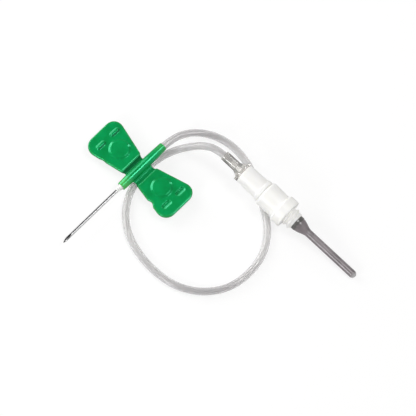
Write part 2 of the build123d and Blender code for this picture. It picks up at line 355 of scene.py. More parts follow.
def moulding(name, settings, marks=(), **sockets):
    # a moulded or dipped surface: slow clouds between two shades, another shade wherever the piece carries
    # one of the marks (on the green these are painted shade, painted highlight and painted light shining
    # through), fine grain
    material, tree, shader = startMaterial(name)
    cloud, grain = skinOf(tree, settings)
    colour = ramp(tree, cloud, *zip(settings["cloudStops"], settings["cloudShades"]))
    for key in marks:
        colour = mixColour(tree, attributeOf(tree, key), colour, settings[key])
    tree.links.new(colour, shader.inputs["Base Color"])
    roughen(tree, shader, grain, settings)
    setSockets(shader, settings, **sockets)
    return material


# Clear-pigmented green: yellower where the wall is thin, partly its own tint and partly painted light
# shining through;
# painted shade on low strips and inner slopes, painted highlight on outer slopes and along top edges
greenSettings = {
    "cloudShades": ((0.0, 0.24, 0.05), (0.0, 0.32, 0.078)),
    "thin": (0.09, 0.44, 0.09),
    # painted shade
    "hollow": (0.0, 0.07, 0.012),
    # painted highlight
    "gleam": (0.07, 0.6, 0.28),
    "cloud": 260,
    "cloudStops": (0.3, 0.62),
    "grain": 4200,
    "smooth": 0.15,
    "rough": 0.2,
    "bump": 0.015,
    "gloss": 0.9,
    "glossTint": (0.14, 1.0, 0.58),
    "ior": 1.65,
    "inside": 0.12,  # share of light that travels below the skin, and how far in metres
    "insideColour": (0.1, 1.0, 0.3),
    "insideReach": 0.0008,
}


steelSettings = {
    # painted shade on one side of the needle, painted light on the other
    "dark": (0.1, 0.1, 0.103),
    "bright": (0.85, 0.85, 0.855),
    "line": 0.7,
    "lineStops": (0.3, 0.7),
    "lineDetail": 2.0,
    "stretch": (60, 9000, 9000),
    "smooth": 0.22,
    "rough": 0.32,
    # where the painted shade turns to painted light round the needle
    "litFrom": 0.1,
    "litTo": 0.5,
}


def needleSteel(settings):
    # drawn tube: fine lines along its length, and one side painted brighter than the other: painted light
    # and painted shade
    material, tree, shader = startMaterial("needleSteel")
    place = tree.nodes.new("ShaderNodeTexCoord")
    stretch = nodeOf(tree, "ShaderNodeMapping", Scale=settings["stretch"])
    tree.links.new(place.outputs["Object"], stretch.inputs["Vector"])
    lines = nodeOf(tree, "ShaderNodeTexNoise", Scale=1.0, Detail=settings["lineDetail"])
    tree.links.new(stretch.outputs["Vector"], lines.inputs["Vector"])
    side = mixColour(tree, attributeOf(tree, "lit"), settings["dark"], settings["bright"])
    shades = ((settings["line"],) * 3, (1.0,) * 3)
    drawn = ramp(tree, lines.outputs["Fac"], *zip(settings["lineStops"], shades))
    tree.links.new(mixColour(tree, None, side, drawn, "MULTIPLY"), shader.inputs["Base Color"])
    roughness = spread(tree, lines.outputs["Fac"], settings["smooth"], settings["rough"])
    tree.links.new(roughness, shader.inputs["Roughness"])
    shader.inputs["Metallic"].default_value = 1
    return material


tubingSettings = {
    "clear": (0.91, 0.905, 0.9),
    "cloudy": (0.84, 0.835, 0.83),
    "marked": (0.72, 0.71, 0.715),
    # painted highlight where the wall is seen edge on
    "edge": (0.97, 0.97, 0.97),
    "edgeFrom": 0.0,
    "edgeTo": 1.0,
    "cloud": 260,
    "through": 0.7,
    "smooth": 0.06,
    "rough": 0.14,
    "ior": 1.45,
    "depthColour": (0.8, 0.78, 0.79),
    "depth": 200,
}
connectorLook = {
    "clear": (0.93, 0.92, 0.9),
    "cloudy": (0.85, 0.835, 0.81),
    "marked": (0.12, 0.115, 0.1),
    # painted shade where the wall is seen edge on
    "edge": (0.03, 0.028, 0.025),
    "edgeFrom": 0.2,
    "edgeTo": 0.5,
    "cloud": 700,
    "through": 0.75,
    "smooth": 0.01,
    "rough": 0.04,
    "ior": 1.58,
    "depthColour": (0.6, 0.56, 0.5),
    "depth": 110,
}
glueLook = {
    "clear": (0.98, 0.985, 0.97),
    "cloudy": (0.93, 0.95, 0.92),
    "marked": (0.93, 0.95, 0.92),
    # painted highlight where the wall is seen edge on
    "edge": (0.95, 0.96, 0.95),
    "edgeFrom": 0.5,
    "edgeTo": 1.0,
    "cloud": 1400,
    "through": 0.2,
    "smooth": 0.35,
    "rough": 0.5,
    "ior": 1.45,
    "depthColour": (0.95, 0.96, 0.95),
    "depth": 60,
}


def clearPlastic(name, settings, cloudStops=(0.3, 0.65)):
    # see-through plastic: faint clouds at its skin, a painted shade where it is marked, and a painted rim
    # where the wall is seen edge on (painted shade or painted highlight), less so where it is plain; and a
    # body that greys with the length looked through
    material, tree, shader = startMaterial(name)
    cloud, _ = skinOf(tree, settings)
    wall = ramp(tree, cloud, *zip(cloudStops, (settings["cloudy"], settings["clear"])))
    wall = mixColour(tree, attributeOf(tree, "marked"), wall, settings["marked"])
    # painted rim: a shade or highlight where the wall is seen edge on
    turned = tree.nodes.new("ShaderNodeLayerWeight").outputs["Facing"]
    rim = rangeOf(tree, turned, settings["edgeFrom"], settings["edgeTo"], 0, 1)
    fade = rangeOf(tree, attributeOf(tree, "plain"), 0, 1, 1, 0)
    colour = mixColour(tree, mathOf(tree, "MULTIPLY", rim, fade), wall, settings["edge"])
    tree.links.new(colour, shader.inputs["Base Color"])
    tree.links.new(spread(tree, cloud, settings["rough"], settings["smooth"]), shader.inputs["Roughness"])
    setSockets(shader, settings, Transmission_Weight="through", IOR="ior")
    body = tree.nodes.new("ShaderNodeVolumeAbsorption")
    setSockets(body, settings, Density="depth", Color="depthColour")
    tree.links.new(body.outputs["Volume"], tree.nodes["Material Output"].inputs["Volume"])
    return material


# Milky white, a little warmer in slow patches
whiteSettings = {
    "cloudShades": ((0.98, 0.97, 0.93), (0.985, 0.98, 0.955)),
    "cloud": 160,
    "cloudStops": (0.32, 0.6),
    "grain": 4600,
    "smooth": 0.3,
    "rough": 0.42,
    "bump": 0.1,
    "inside": 0.4,
    "insideColour": (1.0, 1.0, 0.9),
    "insideReach": 0.0012,
}
# Mauve-grey dipped rubber: darker base lip, paler on the closed tip
rubberSettings = {
    "cloudShades": ((0.17, 0.15, 0.158), (0.25, 0.22, 0.232)),
    "lip": (0.13, 0.128, 0.124),
    "tip": (0.6, 0.6, 0.6),
    "cloud": 420,
    "cloudStops": (0.3, 0.65),
    "grain": 3800,
    "smooth": 0.14,
    "rough": 0.2,
    "bump": 0.02,
    "gloss": 0.7,
}
greenSockets = dict(insideSockets, Specular_IOR_Level="gloss", Specular_Tint="glossTint", IOR="ior")
green = moulding("greenMoulding", greenSettings, ("thin", "hollow", "gleam"), **greenSockets)
steel = needleSteel(steelSettings)
glue = clearPlastic("clearGlue", glueLook)
vinyl = clearPlastic("clearTubing", tubingSettings)
crystal = clearPlastic("clearConnector", connectorLook)
white = moulding("whitePlastic", whiteSettings, **insideSockets)
rubber = moulding("greyRubber", rubberSettings, ("lip", "tip"), Specular_IOR_Level="gloss")
print("materials made")


# Tubing: a smooth line led by the route's points from hub to connector, with a hollow round section

tubeSettings = {
    "outer": 1.0,
    "bore": 0.6,
    "hubFloor": -5.6,
    "hubMouth": -8.6,
    "hubRun": -11.2,
    "connectorRun": -16.7,
    "connectorFloor": -11.9,
    "length": 151.2,
    "greyWay": (-0.69466, 0.71934, 0),  # painted shade: the vinyl is painted greyer where it runs along this direction
    "around": 28,
    "perSpan": 20,
}
tubeLies = [  # x, y from the hub's middle, height above the table
    (-16.4, 1.9, 2.7),
    (-20.4, 6.0, 1.5),
    (-22.2, 11.5, 1.0),
    (-21.7, 17.7, 1.0),
    (-19.6, 23.4, 1.0),
    (-16.0, 29.2, 1.0),
    (-12.3, 35.2, 1.0),
    (-6.5, 39.5, 1.0),
    (0.4, 40.9, 1.0),
    (7.4, 39.9, 1.0),
    (13.1, 35.9, 1.0),
    (16.9, 29.7, 1.0),
    (17.9, 22.3, 1.0),
    (17.0, 14.8, 1.0),
    (14.1, 8.0, 1.0),
    (8.5, 2.9, 1.0),
    (1.7, 0.8, 1.0),
    (-5.0, 0.6, 1.0),
    (-9.8, 2.1, 1.4),
    (-13.1, 4.9, 3.4),
    (-15.3, 8.5, 6.8),
]


def tubeRoute(settings):
    inHub = [hubStart + needleAlong * settings[key] for key in ("hubFloor", "hubRun")]
    inConnector = [luerStart + luerAlong * settings[key] for key in ("connectorRun", "connectorFloor")]
    return np.vstack([inHub, home + np.array(tubeLies), inConnector])


def smoothLine(route, perSpan):
    # the line of a NURBS curve with the route as its control points, read back as points
    curve = bpy.data.curves.new("routeLine", "CURVE")
    curve.dimensions = "3D"
    spline = curve.splines.new("NURBS")
    spline.points.add(len(route) - 1)
    weights = np.ones((len(route), 1))
    spline.points.foreach_set("co", np.hstack([route * mm, weights]).ravel())
    spline.order_u = 3
    spline.use_endpoint_u = True
    spline.resolution_u = perSpan
    holder = bpy.data.objects.new("routeLine", curve)
    line = bpy.data.meshes.new_from_object(holder)
    points = np.empty(len(line.vertices) * 3, np.float32)
    line.vertices.foreach_get("co", points)
    bpy.data.objects.remove(holder)
    bpy.data.curves.remove(curve)
    bpy.data.meshes.remove(line)
    return points.reshape(-1, 3).astype(float) / mm


def alongFrames(line):
    # a line's direction at each point, and two directions across it, carried along with the least turn
    along = np.gradient(line, axis=0)
    along /= np.linalg.norm(along, axis=1, keepdims=True)
    first = np.empty_like(along)
    first[0] = np.cross(along[0], [0, 1.0, 0])
    first[0] /= np.linalg.norm(first[0])
    for i in range(1, len(along)):
        first[i] = first[i - 1] - along[i] * first[i - 1].dot(along[i])
        first[i] /= np.linalg.norm(first[i])
    return along, first, np.cross(along, first)


def makeTubing(settings):
    # a ring of points on the outside and on the bore at each place of the line, joined at both ends
    line = smoothLine(tubeRoute(settings), settings["perSpan"])
    heading, first, second = alongFrames(line)
    angle = fullTurn(settings["around"])
    ring = np.cos(angle)[:, None, None] * first + np.sin(angle)[:, None, None] * second
    wall = np.concatenate([line + ring * settings["outer"], (line + ring * settings["bore"])[:, ::-1]], 1)
    # painted shade: greyer where the tube runs along that direction
    grey = (heading @ np.array(settings["greyWay"])) ** 2
    piece = gridPiece(
        "clearTube", wall, vinyl, "clear_tubing", closedV=True, marked=np.concatenate([grey, grey[::-1]])
    )
    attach(piece, "hub")
    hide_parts("tubing")
    drawn = np.linalg.norm(np.diff(line, axis=0), axis=1).sum()
    print("tubing drawn", round(drawn, 1), "mm long")


makeTubing(tubeSettings)


# Front needle: hollow, with a main bevel and two side grinds, and the glue that holds it

needleSettings = {
    "outer": 0.41,
    "bore": 0.255,
    "rear": -5.6,
    "tip": 29.3,
    "bevel": 15,
    "lancet": 22,
    "lancetRoll": 38,
    "around": 96,
    "along": 12,
    "face": 3,
}


def groundEnd(r, angle, settings):
    # where the wall ends at each angle: the nearest of three slanting planes that meet at the tip
    tip, outer = settings["tip"], settings["outer"]
    ends = []
    for roll, slant in ((0, "bevel"), (1, "lancet"), (-1, "lancet")):
        turn = np.radians(settings["lancetRoll"]) * roll
        slope = np.tan(np.radians(settings[slant]))
        start = tip + outer * (1 - np.cos(turn)) / slope
        ends.append(start - (r * np.cos(angle + turn) + outer) / slope)
    return np.minimum.reduce(ends)


def makeNeedle(name, node, body, start, along, settings):
    # outside, ground face and bore as one closed wall: s runs from the rear to the ground end of its angle
    rear, outer, bore = (settings[key] for key in ("rear", "outer", "bore"))
    steps, face = settings["along"], settings["face"]
    run = np.linspace(0, 1, steps)
    share = np.concatenate([run, np.ones(face), run[::-1]])
    across = np.linspace(outer, bore, face + 2)[1:-1]
    radius = np.concatenate([np.full(steps, outer), across, np.full(steps, bore)])
    share, r, turn = turnedProfile(np.column_stack([share, radius]), settings["around"])
    s = rear + (groundEnd(r, turn, settings) - rear) * share
    # painted light on one side, painted shade on the other
    lit = smoothStep(steelSettings["litFrom"], steelSettings["litTo"], -np.sin(turn))
    grid = around(start, along, s, r, turn)
    piece = gridPiece(name, grid, steel, "needle_steel", closedV=True, sharpAngle=12, lit=lit)
    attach(piece, body)
    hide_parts(node)


glueSettings = {
    "well": 6.0,
    "mouth": 7.4,
    "end": 9.1,
    "inner": 0.43,
    "wellRadius": 0.88,
    "lip": 0.07,
    "fall": 2.4,  # power of the hollow curve
    "steps": 14,
    "turns": 64,
}


def makeGlue(settings):
    # fills the nose well, then falls in a hollow curve to a thin collar on the needle
    t = np.linspace(0, 1, settings["steps"])[1:]
    s = between(settings, "mouth", "end", t)
    rise = settings["wellRadius"] - settings["inner"] - settings["lip"]
    r = settings["inner"] + settings["lip"] + rise * (1 - t) ** settings["fall"]
    outside = np.column_stack([s, r])
    profile = np.vstack(
        [
            [(settings["well"], settings["inner"]), (settings["well"], settings["wellRadius"])],
            [(settings["mouth"], settings["wellRadius"])],
            outside,
            [(settings["end"], settings["inner"])],
        ]
    )
    grid = around(hubStart, needleAlong, *turnedProfile(profile, settings["turns"]))
    piece = gridPiece("glueCollar", grid, glue, "clear_glue", closedV=True)
    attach(piece, "hub")
    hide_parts("needle_bond")


makeNeedle("frontNeedle", "needle_cannula", "hub", hubStart, needleAlong, needleSettings)
makeGlue(glueSettings)
print("needle and glue made")


# Hub: nose, body and tail turned about the needle line

hubSettings = {
    "radius": 1.35,
    "tailEnd": -8.6,
    "tailShoulder": -3.2,
    "tailRadius": 1.16,
    "socketRadius": 1.02,
    "socketFloor": -5.6,
    "noseShoulder": 4.4,
    "noseEnd": 7.4,
    "noseRadius": 1.2,
    "wellRadius": 0.9,
    "wellFloor": 6.0,
    "boreRadius": 0.43,
    "socketRound": 0.06,
    "tailRound": 0.1,
    "shoulderRound": 2.0,
    "noseRound": 0.14,
    "wellRound": 0.08,
    "thinNose": (3.2, 6.8),  # the wall thins over these stretches, the nose all the way, the tail in part, and is painted paler there: partly its own tint, partly painted light shining through
    "thinTail": (-4.8, -8.6),
    "tailThinness": 0.45,
    "gap": 0.35,
    "turns": 128,
}


def makeHub(settings):
    profile = closedProfile(
        settings,
        ("socketFloor", "boreRadius"),
        ("socketFloor", "socketRadius"),
        ("tailEnd", "socketRadius", "socketRound"),
        ("tailEnd", "tailRadius", "tailRound"),
        ("tailShoulder", "radius", "shoulderRound"),
        ("noseShoulder", "radius", "shoulderRound"),
        ("noseEnd", "noseRadius", "noseRound"),
        ("noseEnd", "wellRadius", "wellRound"),
        ("wellFloor", "wellRadius"),
        ("wellFloor", "boreRadius"),
    )
    s, r, turn = turnedProfile(profile, settings["turns"])
    # paler where the wall is thin: partly its own tint, partly painted light shining through, with a painted
    # highlight on the tail's end
    nose, tail = (smoothStep(*settings[key], s) for key in ("thinNose", "thinTail"))
    thin = np.maximum(nose, settings["tailThinness"] * tail)
    grid = around(hubStart, needleAlong, s, r, turn)
    piece = gridPiece("greenHub", grid, green, "green_moulding", closedV=True, thin=thin)
    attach(piece, "hub")
    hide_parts("wing_hub")


makeHub(hubSettings)
print("hub made")


# Wings: flat plates with a raised round pad, two bars on one and two slots on the other

wingSettings = {
    "gap": 0.75,  # hinge line to the plate's inner edge
    "length": 12.5,
    "thick": 1.0,
    "under": 2.3,
    "rootRear": 3.0,
    "rootFront": 4.2,
    "tipRear": 6.35,
    "tipFront": 6.6,
    "tipRound": 3.6,
    "rootRound": 0.5,
    "frontRound": 0.3,
    "notchOut": 5.75,
    "notchRadius": 1.2,
    "notchDepths": {"leftWing": 0.5, "rightWing": 0.08},
    "notchEase": 0.4,
    "topRound": 0.35,
    "underRound": 0.15,
    "padOut": 4.95,
    "padInner": 2.4,
    "padOuter": 3.0,
    "padHeight": 0.3,
    "padField": 3.2,  # rings round the pad are circles up to here
    "barOut": 9.3,
    "barApart": 5.2,
    "barLength": 3.3,
    "barWidth": 1.5,
    "barHeight": 0.42,
    "barSlopes": (0.5, 0.5),
    "slotSlopes": (0.25, 0.7),
    "barTints": (0.8, 0.8),  # painted shade on inner slopes, painted highlight on outer slopes
    "slotTints": (0.35, 0.9),
    "rootTint": 0.5,  # painted highlight along the root's top edge
    "rootBand": 0.45,
    "tipTints": {"leftWing": 0.6, "rightWing": 0.0},  # painted highlight along the tip's top edge
    "tipBand": 0.3,
    # paler near the outline: partly the thin edge's own tint, partly painted light shining through
    "edgeThinness": 0.2,
    "edgeBand": 0.7,
    "around": 440,
    "rings": {"padTop": 6, "padRim": 24, "field": 64, "topRound": 7, "underRound": 5, "under": 8},
}


def roundMax(a, b, reach):
    # the larger of two distances, with the edge between them rounded
    corner = np.hypot(np.maximum(a + reach, 0), np.maximum(b + reach, 0))
    return np.minimum(-reach, np.maximum(a, b)) + corner


def wingOutline(u, v, settings):
    # below 0 inside the plate: four straight sides, rounded where they meet, less the front edge's notch
    length = settings["length"]
    rear = np.array([-length, settings["rootRear"] - settings["tipRear"]])
    front = np.array([length, settings["rootFront"] - settings["tipFront"]])
    rear /= np.linalg.norm(rear)
    front /= np.linalg.norm(front)
    rearSide = (u + settings["rootRear"]) * rear[0] + v * rear[1]
    frontSide = (u - settings["rootFront"]) * front[0] + v * front[1]
    plate = np.maximum.reduce(
        [
            roundMax(v - length, rearSide, settings["tipRound"]),
            roundMax(v - length, frontSide, settings["tipRound"]),
            roundMax(-v, rearSide, settings["rootRound"]),
            roundMax(-v, frontSide, settings["frontRound"]),
        ]
    )
    slope = (settings["tipFront"] - settings["rootFront"]) / length
    notchAt = settings["rootFront"] + slope * settings["notchOut"]
    notchAt += settings["notchRadius"] - settings["notch"]
    notch = settings["notchRadius"] - np.hypot(u - notchAt, v - settings["notchOut"])
    return roundMax(plate, notch, settings["notchEase"])


def wingEdge(settings, reach=1.2, halvings=40, step=1e-4):
    # the outline's points, seen from the pad's middle, found by halving along each ray, and its normals
    angle = fullTurn(settings["around"])
    ray = np.column_stack([np.cos(angle), np.sin(angle)])
    middle = np.array([0, settings["padOut"]])
    low, high = np.zeros(len(angle)), np.full(len(angle), settings["length"] * reach)
    for _ in range(halvings):
        half = (low + high) / 2
        inside = wingOutline(*(middle + ray * half[:, None]).T, settings) < 0
        low, high = np.where(inside, half, low), np.where(inside, high, half)
    edge = middle + ray * low[:, None]
    u, v = edge.T
    normal = np.column_stack(
        [
            wingOutline(u + step, v, settings) - wingOutline(u - step, v, settings),
            wingOutline(u, v + step, settings) - wingOutline(u, v - step, settings),
        ]
    )
    return ray, edge, normal / np.linalg.norm(normal, axis=1, keepdims=True)


def wingRelief(u, v, settings, raised, tiny=1e-9):
    # height above the plate: the pad with its sloping rim, and two bars that stand up or two slots that go
    # down; bars and slots are level along the middle and slope to their feet, by another width inwards than
    # outwards; also the painted shade of the inner slopes and the painted highlight of the outer slopes
    pad = easedRamp(settings["padOuter"], settings["padInner"], np.hypot(u, v - settings["padOut"]))
    half = settings["barWidth"] / 2
    beside = np.abs(np.abs(u) - settings["barApart"] / 2)
    beyond = np.maximum(beside - settings["barLength"] / 2 + half, 0)
    off = np.hypot(beyond, v - settings["barOut"])
    inner, outer = settings["barSlopes" if raised else "slotSlopes"]
    outwards = 0.5 + 0.5 * (v - settings["barOut"]) / np.maximum(off, tiny)
    bar = easedRamp(half, half - inner - (outer - inner) * outwards, off)
    height = settings["padHeight"] * pad + (1 if raised else -1) * settings["barHeight"] * bar
    # painted shade on the inner slopes and painted highlight on the outer slopes, strongest midway down each
    # slope
    dark, pale = settings["barTints" if raised else "slotTints"]
    sloping = 4 * bar * (1 - bar)
    facing = 2 * outwards - 1
    return height, dark * sloping * np.clip(-facing, 0, 1), pale * sloping * np.clip(facing, 0, 1)


def makeWing(name, node, body, sign, raised, settings):
    # rings of points: circles over the pad, then spreading to the outline, over its rounded edge, back below
    settings = dict(settings, notch=settings["notchDepths"][name], tipTint=settings["tipTints"][name])
    rings = settings["rings"]
    ray, edge, normal = wingEdge(settings)
    middle = np.array([0, settings["padOut"]])
    topRound, underRound = settings["topRound"], settings["underRound"]
    rim = np.linspace(settings["padInner"], settings["padField"], rings["padRim"])
    circles = np.concatenate([np.linspace(0, settings["padInner"], rings["padTop"])[:-1], rim])
    disc = middle + ray[:, None] * circles[None, :, None]
    inset = edge - normal * topRound
    share = np.linspace(0, 1, rings["field"])[1:, None, None]
    field = (1 - share) * disc[:, -1] + share * inset
    top = np.concatenate([disc, field.transpose(1, 0, 2)], 1)
    relief, *slopes = wingRelief(top[..., 0], top[..., 1], settings, raised)
    topHeight = settings["thick"] + relief
    swing = np.linspace(0, np.pi / 2, rings["topRound"])[1:]
    over = edge[:, None] - normal[:, None] * (topRound * (1 - np.sin(swing)))[:, None]
    overHeight = np.broadcast_to(settings["thick"] - topRound * (1 - np.cos(swing)), over.shape[:2])
    swing = np.linspace(0, np.pi / 2, rings["underRound"])
    below = edge[:, None] - normal[:, None] * (underRound * (1 - np.cos(swing)))[:, None]
    belowHeight = np.broadcast_to(underRound * (1 - np.sin(swing)), below.shape[:2])
    share = np.linspace(1, 0, rings["under"])[1:, None, None]
    floor = (middle + share * (edge - normal * underRound - middle)).transpose(1, 0, 2)
    plan = np.concatenate([top, over, below, floor], 1)
    height = np.concatenate([topHeight, overHeight, belowHeight, np.zeros(floor.shape[:2])], 1)
    grid = np.empty(plan.shape[:2] + (3,))
    grid[..., 0] = home[0] + plan[..., 0]
    grid[..., 1] = home[1] + sign * (hingeOut + settings["gap"] + plan[..., 1])
    grid[..., 2] = settings["under"] + height
    inward = -wingOutline(plan[..., 0], plan[..., 1], settings)
    # paler near the outline: partly the thin edge's own tint, partly painted light shining through
    thin = settings["edgeThinness"] * smoothStep(settings["edgeBand"], 0, inward)
    # painted shade and painted highlight of the slopes, zero off the top
    hollow, gleam = (np.pad(slope, [(0, 0), (0, grid.shape[1] - slope.shape[1])]) for slope in slopes)
    onTop = height > settings["thick"] / 2
    # painted highlights along the root's and the tip's top edges, added to the slopes' painted highlight
    atRoot = smoothStep(settings["rootBand"], 0, plan[..., 1]) * onTop
    atTip = smoothStep(settings["length"] - settings["tipBand"], settings["length"], plan[..., 1]) * onTop
    gleam = np.maximum.reduce([gleam, settings["rootTint"] * atRoot, settings["tipTint"] * atTip])
    piece = gridPiece(
        name, grid, green, "green_moulding", sharpAngle=50, thin=thin, hollow=hollow, gleam=gleam
    )
    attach(piece, body)
    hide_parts(node)


makeWing("leftWing", "wing_left", "left_wing", 1, False, wingSettings)
makeWing("rightWing", "wing_right", "right_wing", -1, True, wingSettings)
print("wings made")


# Hinge webs: thin strips from the hub to each wing

webSettings = {
    "inner": 1.0,
    "outer": 3.1,
    "rearHub": 2.5,
    "rearWing": 2.75,
    "frontHub": 3.9,
    "frontWing": 4.1,
    "thick": 0.5,
    "waist": 0.12,  # thinner by this at the hinge line, from below
    "waistReach": 0.35,
    "flare": 0.12,  # wider by this at both ends, and narrower midway
    "square": 10,  # power of the rounded oblong
    "fillet": 1.0,  # top side's rise at the hub
    "filletEnd": 1.8,
    "filletFoot": 0.5,  # share of the rise that is a straight slope
    "bendFrom": 1.35,
    "bendTo": 2.85,
    "hollows": {"leftWeb": (0.0, 0.0, 0.2), "rightWeb": (0.1, 0.8, 0.9)},  # painted shade at the hub, the curve's foot and the wing
    "around": 48,
    "along": 37,
}


def makeWeb(name, sign, settings):
    # a rounded oblong carried from hub to wing; its width and thickness change on the way, its top side
    # rises to the hub on a hollow curve, and its ends close to a point
    t = np.linspace(0, 1, settings["along"])
    out = between(settings, "inner", "outer", t)
    flare = np.cos(2 * np.pi * t) * settings["flare"]
    rear = between(settings, "rearHub", "rearWing", t) + flare
    front = between(settings, "frontHub", "frontWing", t) + flare
    waist = settings["waist"] * np.exp(-(((out - hingeOut) / settings["waistReach"]) ** 2))
    angle = fullTurn(settings["around"])[:, None]
    power = 2 / settings["square"]
    c, s = (np.sign(part) * np.abs(part) ** power for part in (np.cos(angle), np.sin(angle)))
    x = (front - rear) / 2 + (front + rear) / 2 * c
    reach = np.clip((settings["filletEnd"] - out) / (settings["filletEnd"] - settings["inner"]), 0, 1)
    rise = settings["fillet"] * (settings["filletFoot"] * reach + (1 - settings["filletFoot"]) * reach**2)
    z = hingeHeight + (settings["thick"] / 2 + rise * (s > 0) - waist * (s < 0)) * s
    grid = np.stack([home[0] + x, home[1] + sign * (out + 0 * x), z], -1)
    ends = grid[:, [0, -1]].mean(0, keepdims=True) + 0 * grid[:, [0, -1]]
    grid = np.concatenate([ends[:, :1], grid, ends[:, 1:]], 1)
    # painted shade along the strip, set at the hub, the curve's foot and the wing
    places = [settings[key] for key in ("inner", "filletEnd", "outer")]
    shade = np.interp(np.abs(grid[..., 1] - home[1]), places, settings["hollows"][name])
    piece = gridPiece(name, grid, green, "green_moulding", sharpAngle=50, hollow=shade)
    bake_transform(piece)


makeWeb("leftWeb", 1, webSettings)
makeWeb("rightWeb", -1, webSettings)
print("hinge webs made")


# Clear connector: socket for the tubing, flare, flange with two lugs, spigot into the female luer

connectorSettings = {
    "end": -14.4,
    "radius": 1.35,
    "flareStart": -9.9,
    "flangeStart": -8.3,
    "flangeFace": -7.4,
    "flangeRadius": 2.35,
    "lugReach": 0.45,
    "spigotEnd": -6.4,
    "spigotRadius": 1.45,
    "socketRadius": 1.02,
    "socketFloor": -11.9,
    "boreRadius": 0.6,
    "flareTop": 2.25,
    "mouthRound": 0.08,
    "endRound": 0.1,
    "flareRound": 0.8,
    "flareTopRound": 0.1,
    "backRound": 0.05,
    "faceRound": 0.12,
    "spigotRound": 0.1,
    "lugSide": (0.97, 0.55),  # a lug falls away between these distances from its middle
    "lugFoot": (1.95, 2.33),  # and rises from the flange between these radii
    "margin": 0.02,
    # the painted rim fades out over these stretches
    "plainFlare": (-10.1, -9.3),
    "plainEnd": (-13.5, -13.9),
    "cornerBand": (0.15, 0.4),  # lugs are painted dark this far from the flange's middle: painted shade
    "gap": 0.3,
    "turns": 120,
}


def makeConnector(settings):
    # turned profile whose flange reaches further out over two lugs
    profile = closedProfile(
        settings,
        ("socketFloor", "boreRadius"),
        ("socketFloor", "socketRadius"),
        ("end", "socketRadius", "mouthRound"),
        ("end", "radius", "endRound"),
        ("flareStart", "radius", "flareRound"),
        ("flangeStart", "flareTop", "flareTopRound"),
        ("flangeStart", "flangeRadius", "backRound"),
        ("flangeFace", "flangeRadius", "faceRound"),
        ("flangeFace", "spigotRadius"),
        ("spigotEnd", "spigotRadius", "spigotRound"),
        ("spigotEnd", "boreRadius"),
    )
    s, r, turn = turnedProfile(profile, settings["turns"])
    beside = np.abs(np.sin(turn)) * (settings["flangeRadius"] + settings["lugReach"])
    lug = smoothStep(*settings["lugSide"], beside) * smoothStep(*settings["lugFoot"], r)
    lug = lug * (s > settings["flangeStart"] - settings["margin"])
    grid = around(luerStart, luerAlong, s, r + settings["lugReach"] * lug, turn, luerAcross)
    plain = np.maximum(smoothStep(*settings["plainFlare"], s), smoothStep(*settings["plainEnd"], s))
    middle = (settings["flangeStart"] + settings["flangeFace"]) / 2
    # painted shade at the lugs' corners
    corner = lug * smoothStep(*settings["cornerBand"], np.abs(s - middle))
    piece = gridPiece(
        "clearConnector", grid, crystal, "clear_connector", closedV=True, plain=plain, marked=corner
    )
    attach(piece, "hub")
    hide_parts("tube_connector")


makeConnector(connectorSettings)
print("connector made")


# Female luer hub and luer adapter, white

socketSettings = {
    "back": -7.4,
    "floor": -6.4,
    "holeRadius": 1.47,
    "backRadius": 2.758,
    "frontRadius": 2.95,
    "lipFoot": -1.15,
    "lipStart": -0.9,
    "lipRadius": 3.2,
    "mouth": 0,
    "boreMouth": 2.15,
    "boreFloor": 1.958,
    "holeRound": 0.05,
    "backRound": 0.35,
    "lipFootRound": 0.2,
    "lipRound": 0.12,
    "rimRound": 0.15,
    "boreRound": 0.1,
    "gap": 0.4,
    "turns": 128,
}


def makeSocket(settings):
    profile = closedProfile(
        settings,
        ("floor", "holeRadius"),
        ("back", "holeRadius", "holeRound"),
        ("back", "backRadius", "backRound"),
        ("lipFoot", "frontRadius", "lipFootRound"),
        ("lipStart", "lipRadius", "lipRound"),
        ("mouth", "lipRadius", "rimRound"),
        ("mouth", "boreMouth", "boreRound"),
        ("floor", "boreFloor", "boreRound"),
    )
    grid = around(luerStart, luerAlong, *turnedProfile(profile, settings["turns"]))
    piece = gridPiece("femaleLuer", grid, white, "white_plastic", closedV=True)
    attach(piece, "hub")
    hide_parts("luer_socket")


adapterSettings = {
    "coneEnd": -6.0,
    "coneTip": 1.93,
    "coneBase": 2.116,
    "seat": 0.02,
    "seatRadius": 2.9,
    "front": 0.2,
    "frontRadius": 3.0,
    "barrelFront": 3.7,
    "barrelBack": 3.5,
    "flangeStart": 5.9,
    "flangeRadius": 4.15,
    "flangeEnd": 8.8,
    "neckRadius": 2.3,
    "neckEnd": 11.6,
    "nippleRadius": 1.2,
    "nippleEnd": 14.4,
    "needleHole": 0.47,
    "flowRadius": 0.9,
    "flowEnd": 2.0,
    "threadPitch": 1.5,
    "threadRise": 0.5,
    "threadStart": (8.9, 9.4),  # the thread fades in and out over these stretches
    "threadEnd": (11.45, 10.9),
    "threadRoot": 1.7,  # nothing nearer the line than this carries it
    "flowRound": 0.1,
    "tipRound": 0.15,
    "seatRound": 0.1,
    "stepRound": 0.08,
    "frontRound": 0.05,
    "barrelRound": 0.6,
    "rootRound": 0.15,
    "flangeRound": 0.35,
    "neckRound": 0.12,
    "nippleRoot": 0.05,
    "nippleRound": 0.1,
    "gap": 0.12,
    "turns": 160,
}


